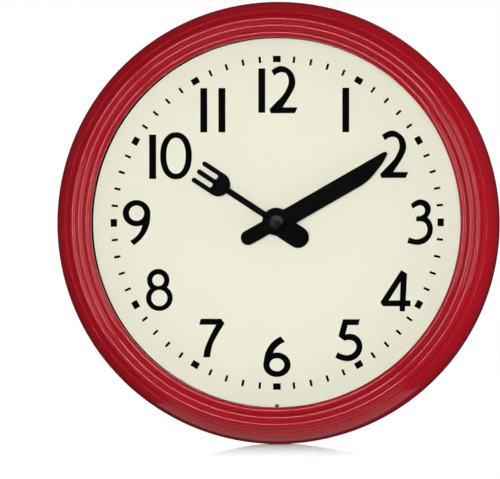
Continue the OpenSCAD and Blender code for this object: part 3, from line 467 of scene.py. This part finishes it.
def makeCellSleeve():
    v = cellPaint
    f = Finish("cellSleeve", "cell_sleeve")
    x = f.axes()[0]
    ruleFrom = v["bandFrom"] - v["ruleGap"]
    band = f.between(x, v["bandFrom"], v["bandFrom"] + v["bandFade"])
    rule = f.between(x, ruleFrom, ruleFrom + v["ruleFade"]) * (1 - band)
    shrink, fine = f.noise(v["shrink"], 3, 0.6, 0.6), f.noise(v["fine"], 3, 0.5, 0, f.stretched(v["run"]))
    tone = f.mixed(shrink * v["sleeveShow"], v["sleeve"], shade(v["sleeve"], v["sleeveTone"]))
    tone = f.mixed(rule, f.mixed(band, tone, v["band"]), v["rule"])
    return f.coat({"Base Color": tone, "Metallic": band * v["bandMetal"],
                   "Roughness": fine * v["fineRough"] + v["rough"],
                   "Normal": f.bump(fine + shrink, v["depth"], v["strength"])})


enamel, cream, ink, pane = makeRedEnamel(), makeDialPaint(), makeDialInk(), makePaneGlass()
handBlack = makeHandPaint("blackHandPaint", 0.36, 0.03)
colletBlack = makeHandPaint("blackLacquer", 0.1, 0.6)
blackPlastic = makePlastic("casePlastic", "black_plastic", (0.018, 0.018, 0.019, 1))
spacerBlack = makePlastic("spacerPlastic", "black_plastic", (0.002, 0.002, 0.002, 1), 0.3, 0.006, 0.6, 0, 0)
whitePlastic = makePlastic("gearPlastic", "white_plastic", (0.78, 0.78, 0.72, 1), 0.3, 0.004, 0.4, 0.1)
powderCoat, rubber, boardMask = makePowderCoat(), makeRubber(), makeBoardMask()
zinc = makeMetal("zincPlate", "zinc_steel", (0.56, 0.57, 0.59, 1), (0.25, 1, 1), 0.32, spangle=3.4)
contactSteel = makeMetal("nickelStrip", "zinc_steel", (0.62, 0.6, 0.56, 1), (0.2, 1, 1), 0.25)
motorSteel = makeMetal("motorSheet", "motor_steel", (0.4, 0.4, 0.42, 1), (0.3, 1, 1), 0.38)
brass = makeMetal("turnedBrass", "brass", (0.78, 0.56, 0.22, 1), (1, 1, 1), 0.24, (0.42, 0.27, 0.1, 1), True)
ferrite = makePlastic("magnetFerrite", "ferrite", (0.06, 0.06, 0.065, 1), 0.2, 0.008, 0.45, 0.8)
resin = makePlastic("chipResin", "chip_resin", (0.012, 0.012, 0.012, 1), 1.6, 0.01, 0.16, 0.1)
canNickel = makeMetal("crystalCan", "crystal_can", (0.72, 0.72, 0.71, 1), (1, 0.2, 1), 0.16)
winding, sleeve = makeWinding(), makeCellSleeve()
print("finishes made")


caseShell = {"moulding": 20.2, "beads": (3.7, 4.1, 3.9), "beadRise": 1.15, "feet": (1, 2.3, 3.5, 3.3),
             "cove": 2.3, "coveSink": 0.55, "coveSteps": 10, "line": 0.5, "lineRise": 0.3, "lineSteps": 6,
             "bandDepth": 15.5, "bandSteps": 26, "wall": 1.4, "lipStock": 1.2, "beadStock": 1.9,
             "beadInset": 1, "lipStep": 0.5, "lipFoot": 0.3, "softness": 0.22}
ringTurns = 384  # sides of the case, the pane and the spacer
caseRadius = reach("frame")
lipRadius = caseRadius - caseShell["moulding"]
glassRear, lipRear = levels("lens")


def bandArc():  # centre, radius and turn of the outer band's curve
    v = caseShell
    start = caseRadius - v["moulding"] + sum(v["beads"]) + v["cove"] + v["line"]
    turn = 2 * math.atan((caseRadius - start) / v["bandDepth"])
    radius = v["bandDepth"] / math.sin(turn)
    return (caseRadius - radius, lipRear - v["bandDepth"]), radius, math.degrees(turn)


def makeCaseShell():
    v = caseShell
    edges = [lipRadius + sum(v["beads"][:i]) for i in range(len(v["feet"]))]
    feet = [(radius, lipRear + height) for radius, height in zip(edges, v["feet"])]
    coveEnd = (feet[-1][0] + v["cove"], lipRear)
    lineEnd = (coveEnd[0] + v["line"], lipRear)
    centre, radius, turn = bandArc()
    outline = [(lipRadius, lipRear)]
    for inner, outer in zip(feet, feet[1:]):
        outline += bow(inner, outer, v["beadRise"])
    outline += bow(feet[-1], coveEnd, -v["coveSink"], v["coveSteps"])
    outline += bow(coveEnd, lineEnd, v["lineRise"], v["lineSteps"])
    outline += arc(centre, radius, turn, 0, v["bandSteps"])
    outline += [(caseRadius, 0), (caseRadius - v["wall"], 0)]
    outline += arc(centre, radius - v["wall"], 0, turn, v["bandSteps"])
    spacer = reach("spacer_ring")
    outline += [(feet[-1][0] - v["beadInset"], lipRear + v["beadStock"]),
                (spacer + v["lipStep"], lipRear + v["lipStock"]), (spacer + v["lipFoot"], lipRear)]
    return lathe("caseShell", softened(outline, v["softness"]), ringTurns)


caseLugs = {"count": 6, "width": 12, "height": 6, "inset": 6.2, "reachIn": 4, "rows": 5, "softness": 0.4,
            "segments": 3, "sharp": 40}


def makeCaseLugs():  # blocks under the band that the back plate's screws bite into
    v = caseLugs
    bm = bmesh.new()
    centre, radius, turn = bandArc()
    rear = levels("back_plate")[1]
    inner = caseRadius - v["inset"] - v["reachIn"]
    for i in range(v["count"]):
        spin = math.radians(90 + (i + 0.5) * 360 / v["count"])
        rows = []
        for k in range(v["rows"]):
            height = rear + v["height"] * k / (v["rows"] - 1)
            outer = centre[0] + math.sqrt((radius - caseShell["wall"] / 2) ** 2 - (height - centre[1]) ** 2)
            row = []
            for outward, across in ((0, -1), (1, -1), (1, 1), (0, 1)):
                side = across * v["width"] / 2
                out = math.sqrt(outer ** 2 - side ** 2) if outward else inner
                x = out * math.cos(spin) - side * math.sin(spin)
                y = out * math.sin(spin) + side * math.cos(spin)
                row.append(bm.verts.new(onWall(x, y, height)))
            rows.append(row)
        bm.faces.new(rows[0])
        bm.faces.new(rows[-1])
        for lower, upper in zip(rows, rows[1:]):
            for k in range(4):
                bm.faces.new([lower[k - 1], lower[k], upper[k], upper[k - 1]])
    bmesh.ops.recalc_face_normals(bm, faces=bm.faces)
    corners = [e for e in bm.edges if e.calc_face_angle(0) > math.radians(v["sharp"])]
    bmesh.ops.bevel(bm, geom=corners, offset=v["softness"] * mm, segments=v["segments"], profile=0.5,
                    affect="EDGES")
    return finished(bm, "caseLugs")


fit(makeCaseShell(), "frame", enamel)
lugs = makeCaseLugs()
lugs.data.materials.append(enamel.material)
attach(lugs, "clock")

glassPane = {"softness": 0.3}


def makeGlassPane():
    rim = reach("lens")
    outline = [(0, glassRear), (rim, glassRear), (rim, lipRear), (0, lipRear)]
    return lathe("glassPane", softened(outline, glassPane["softness"]), ringTurns)


fit(makeGlassPane(), "lens", pane)

spacerRing = {"setback": 0.1, "skirt": 0.7, "softness": 0.15}


def makeSpacerRing():
    v = spacerRing
    rear, front = levels("spacer_ring")
    outer = reach("spacer_ring")
    wall, skirt = lipRadius + v["setback"], outer - v["skirt"]
    outline = [(wall, rear), (outer, rear), (outer, front), (skirt, front), (skirt, glassRear),
               (wall, glassRear)]
    return lathe("spacerRing", softened(outline, v["softness"]), ringTurns)


fit(makeSpacerRing(), "spacer_ring", spacerBlack)
print("case, glass and spacer made")

faceEdge = {"dial": 0.06, "collet": 0.06, "hand": 0.1, "handSegments": 3}  # mm taken off the edges
fit(refined("dial", "dialDisc", faceEdge["dial"]), "dial", cream)
for place in nodes["dial_print"].material_slots:
    place.material = ink.material

for node, name in (("hour_hand", "hourHand"), ("minute_hand", "minuteHand")):
    fit(refined(node, name, faceEdge["hand"], faceEdge["handSegments"]), node, handBlack)

minuteCollet = {"flange": 0.45, "step": 3.3, "stepRound": 0.1, "sleeve": 2.4, "bore": 1.61,
                "ringInner": 1.95, "ringRise": 0.42, "ringSteps": 16, "dish": 0.35, "dishCrown": 0.05,
                "capUnder": 0.15, "boreUnder": 0.2, "softness": 0.12, "turns": 96}


def makeMinuteCollet():
    v = minuteCollet
    low, high = levels("minute_collet")
    rear, front = levels("minute_hand")
    outer, sleeveRadius, bore = reach("minute_collet"), v["sleeve"], v["bore"]
    top, dish = front + v["flange"], high - v["dish"]
    outline = [(bore, low), (outer, low), (outer, rear), (sleeveRadius, rear), (sleeveRadius, front),
               (outer, front), (outer, top), (v["step"], top)]
    ringFrom = (v["ringInner"], high - v["ringRise"])
    ringTo = (v["step"] - v["stepRound"], top + v["stepRound"])
    outline += bow(ringFrom, ringTo, v["ringRise"], v["ringSteps"])[::-1]
    outline += [(v["ringInner"], dish), (0, dish + v["dishCrown"]), (0, dish - v["capUnder"]),
                (bore, dish - v["boreUnder"])]
    return lathe("minuteCollet", softened(outline, v["softness"]), v["turns"])


fit(makeMinuteCollet(), "minute_collet", colletBlack)
fit(refined("hour_collet", "hourCollet", faceEdge["collet"]), "hour_collet", handBlack)
print("dial and hands made")

# The back, hanger, fixings and movement keep each node's own shape, with this much taken off its edges.
trimmed = [
    ("back_plate", "backPlate", 0.25, powderCoat),
    ("back_screws", "backScrews", 0.3, zinc),
    ("hanger_bracket", "hangerBracket", 0.15, zinc),
    ("rubber_washer", "rubberWasher", 0.15, rubber),
    ("fixing_washer", "fixingWasher", 0.08, brass),
    ("fixing_nut", "fixingNut", 0.2, brass),
    ("centre_bush", "centreBush", 0.12, brass),
    ("movement_case", "movementCase", 0.3, blackPlastic),
    ("movement_cover", "movementCover", 0.25, blackPlastic),
    ("bridge_plate", "bridgePlate", 0.06, whitePlastic),
    ("circuit_board", "circuitBoard", 0.05, boardMask),
    ("quartz_crystal", "quartzCrystal", 0.12, canNickel),
    ("timing_chip", "timingChip", 0, resin),
    ("coil_bobbin", "coilBobbin", 0.08, whitePlastic),
    ("coil_winding", "coilWinding", 0.05, winding),
    ("stator_core", "statorCore", 0.06, motorSteel),
    ("rotor_magnet", "rotorMagnet", 0.12, ferrite),
    ("rotor_pinion", "rotorPinion", 0.02, whitePlastic),
    ("intermediate_wheel", "intermediateWheel", 0.02, whitePlastic),
    ("seconds_wheel", "secondsWheel", 0.02, whitePlastic),
    ("third_wheel", "thirdWheel", 0.02, whitePlastic),
    ("centre_wheel", "centreWheel", 0.02, whitePlastic),
    ("friction_spring", "frictionSpring", 0.02, brass),
    ("cannon_pinion", "cannonPinion", 0.03, brass),
    ("minute_wheel", "minuteWheel", 0.03, whitePlastic),
    ("hour_wheel", "hourWheel", 0.03, whitePlastic),
    ("setting_knob", "settingKnob", 0.12, whitePlastic),
    ("positive_contact", "positiveContact", 0.05, contactSteel),
    ("negative_contact", "negativeContact", 0.05, contactSteel),
    ("battery_cell", "batteryCell", 0.2, sleeve),
    ("battery_cap", "batteryCap", 0.3, contactSteel),
]
for node, name, edge, finish in trimmed:
    fit(refined(node, name, edge), node, finish)
print("movement made")

# The floor carries a painted shadow in front of the clock: turned by degrees, long in mm, and soft at its sides.
floorPatch = {"side": 24, "segments": 8, "colour": (0.85, 0.85, 0.85, 1), "tooth": 6, "toothTone": 0.985,
              "rough": 0.7, "shadowGlow": 0.02, "farGlow": 1.0, "turn": 4.4, "long": 560, "spread": 5.4,
              "soft": 2.4}


def makeFloor():
    v = floorPatch
    bm = bmesh.new()
    bmesh.ops.create_grid(bm, x_segments=v["segments"], y_segments=v["segments"], size=v["side"] / 2)
    floor = finished(bm, "floor")
    floor.location.z = axisHeight - caseRadius * mm
    f = Finish("floorPaper", None)
    tooth = f.noise(v["tooth"], 3)
    x, y, z = f.axes()
    cos, sin = math.cos(math.radians(v["turn"])), math.sin(math.radians(v["turn"]))
    ahead, across = x * sin - y * cos, x * cos + y * sin
    # outline of the painted shadow: a wedge that widens in front of the clock
    shadowShape = f.between(ahead * v["spread"] - across ** 2, 0, ahead * v["soft"] + v["spread"])
    shadowShape = shadowShape * f.between(ahead, 0, v["spread"])
    paintedShadow = shadowShape * f.between(ahead, v["long"], 0) ** 2  # a painted shadow of the clock on the floor, not cast by any lamp
    # the painted shadow's dark emission near the clock, and the floor's even glow elsewhere
    shadowTone, far = (v["shadowGlow"],) * 3 + (1,), (v["farGlow"],) * 3 + (1,)
    f.coat({"Base Color": f.mixed(tooth, v["colour"], shade(v["colour"], v["toothTone"])),
            "Roughness": v["rough"], "Emission Color": f.mixed(paintedShadow, far, shadowTone), "Emission Strength": 1.0})
    floor.data.materials.append(f.material)
    floor.visible_glossy = floor.visible_diffuse = floor.visible_shadow = False


makeFloor()

roomLight = {"seen": 1.0, "fill": 0.06, "mirrored": 0.015}


def makeRoom():  # white behind the clock, an even fill, and little to mirror in the glass
    v = roomLight
    world = bpy.data.worlds.new("studio")
    bpy.context.scene.world = world
    world.use_nodes = True
    tree = world.node_tree
    tree.nodes.clear()
    path = tree.nodes.new("ShaderNodeLightPath")
    shaders = []
    for strength in (v["fill"], v["mirrored"], v["seen"]):
        shader = tree.nodes.new("ShaderNodeBackground")
        shader.inputs["Color"].default_value = (1, 1, 1, 1)
        shader.inputs["Strength"].default_value = strength
        shaders.append(shader.outputs[0])
    last = shaders[0]
    for ray, shader in (("Is Glossy Ray", shaders[1]), ("Is Camera Ray", shaders[2])):
        mix = tree.nodes.new("ShaderNodeMixShader")
        tree.links.new(path.outputs[ray], mix.inputs[0])
        tree.links.new(last, mix.inputs[1])
        tree.links.new(shader, mix.inputs[2])
        last = mix.outputs[0]
    output = tree.nodes.new("ShaderNodeOutputWorld")
    tree.links.new(last, output.inputs[0])


makeRoom()


def stand(name, data, target, azimuth, elevation, distance):  # a lamp or camera, turned to its target
    thing = bpy.data.objects.new(name, data)
    bpy.context.scene.collection.objects.link(thing)
    a, e = math.radians(azimuth), math.radians(elevation)
    away = Vector((math.sin(a) * math.cos(e), -math.cos(a) * math.cos(e), math.sin(e)))
    thing.location = target + away * distance
    thing.rotation_euler = (-away).to_track_quat("-Z", "Y").to_euler()
    return thing


softboxes = [  # name, azimuth, elevation, distance, width and height in m, radiance, what it makes
    ("crestBox", -6, -20, 2.2, 0.9, 0.1, 1.5, "gloss"),
    ("topBox", 0, 18, 1.6, 1.0, 0.12, 25, "gloss"),
    ("leftBox", -24, 4, 1.6, 0.12, 0.9, 24, "gloss"),
    ("rightBox", 36, 6, 1.6, 0.14, 1.0, 14, "gloss"),
    ("underBox", 0, -100, 1.6, 2.2, 2.2, 0.45, "gloss"),
    ("frontFill", 2, 0, 3.2, 0.5, 0.5, 121, "light"),
    ("rightFill", 84, 0, 2.0, 1.2, 1.2, 5, "light"),
    ("leftFill", -84, 0, 2.0, 1.2, 1.2, 1.6, "light"),
    ("underFill", 0, -66, 1.5, 1.2, 1.2, 0.7, "light"),
    ("backFill", 180, 58, 1.6, 1.2, 0.7, 6, "light"),
    ("backLeft", -125, 10, 2.4, 1.4, 1.4, 1.6, "light"),
    ("backRight", 125, 10, 2.4, 1.4, 1.4, 1.6, "light"),
]
clockOnly = bpy.data.collections.new("clockOnly")  # keeps the lamps off the floor
clockOnly.objects.link(bpy.data.objects["floor"])
clockOnly.collection_objects[0].light_linking.link_state = "EXCLUDE"


def makeSoftbox(name, azimuth, elevation, distance, width, height, radiance, use):
    light = bpy.data.lights.new(name, "AREA")
    light.shape = "RECTANGLE"
    light.size, light.size_y = width, height
    light.energy = radiance * math.pi * width * height
    lamp = stand(name, light, onWall(0, 0, lipRear), azimuth, elevation, distance)
    lamp.visible_camera = False
    lamp.visible_glossy = use == "gloss"
    lamp.visible_diffuse = use == "light"
    lamp.light_linking.receiver_collection = clockOnly


for box in softboxes:
    makeSoftbox(*box)

cameraStand = {"azimuth": 4.4, "elevation": -1.2, "distance": 3, "sensor": 36, "span": 0.27364,
               "right": -0.0157, "up": -0.0089, "level": 9, "farthest": 100}


def makeCamera():
    v = cameraStand
    data = bpy.data.cameras.new("camera")
    data.sensor_width = v["sensor"]
    data.lens = v["sensor"] * v["distance"] / v["span"]
    data.clip_end = v["farthest"]
    target = onWall(0, 0, v["level"]) + Vector((v["right"], 0, v["up"]))
    bpy.context.scene.camera = stand("camera", data, target, v["azimuth"], v["elevation"], v["distance"])


makeCamera()
bpy.context.scene.view_settings.view_transform = "Standard"
